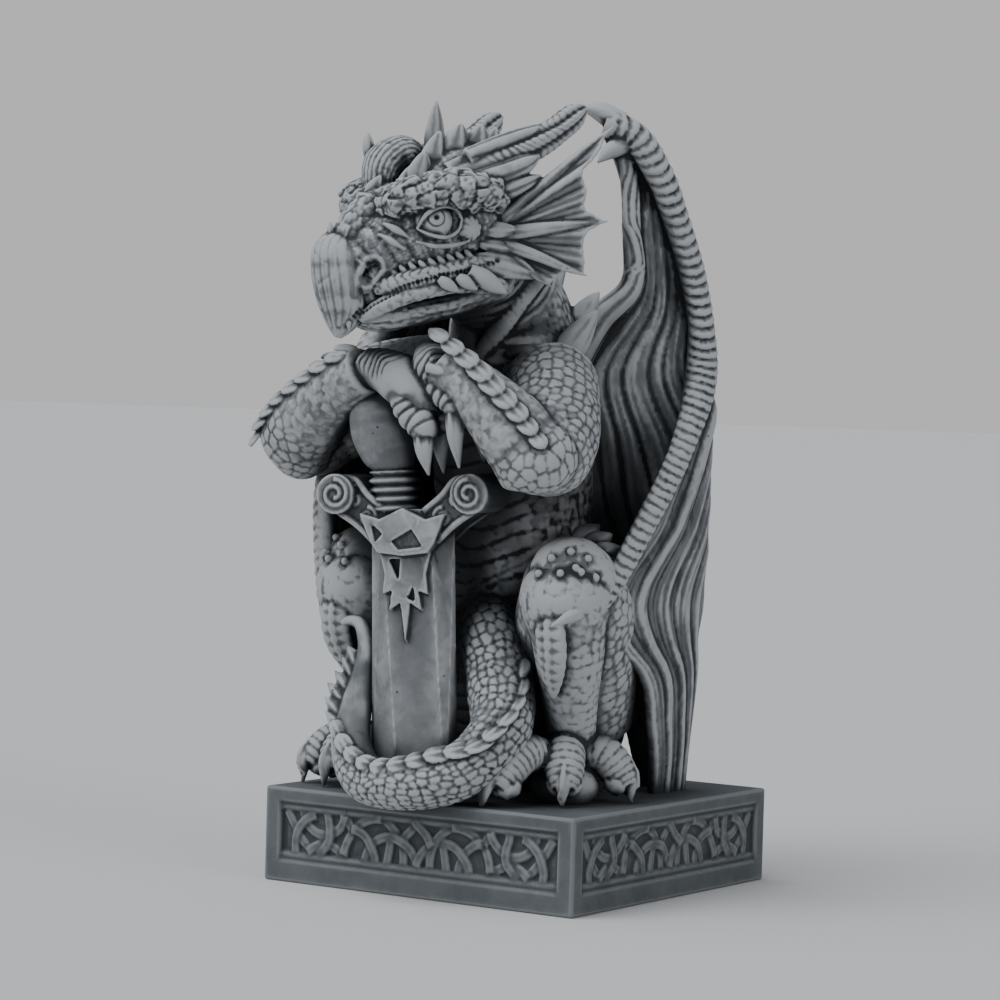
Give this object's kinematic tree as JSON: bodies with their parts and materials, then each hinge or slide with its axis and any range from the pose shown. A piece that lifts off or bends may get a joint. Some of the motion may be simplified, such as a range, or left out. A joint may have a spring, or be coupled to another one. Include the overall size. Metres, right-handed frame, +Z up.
{
  "type": "dragon statue",
  "caption": "Winged dragon squatting on a square knotwork plinth, its folded hands and chin on the pommel of an upright sword, cast in grey stone.",
  "frame": {"origin": "middle of the plinth's flat underside", "axes": "+Z up; -Y the front of the plinth; +X the dragon's left hand side"},
  "size_m": [0.2086, 0.232, 0.4023],
  "materials": {
    "plinth_stone": "matt cast stone, mid blue-grey, fine casting pits",
    "figure_stone": "matt cast stone, cool grey with a dark wash in the recesses and paler rubbed ridges"
  },
  "bodies": {
    "root": {"plinth": "plinth_stone", "dragon": "figure_stone"}
  },
  "joints": []
}
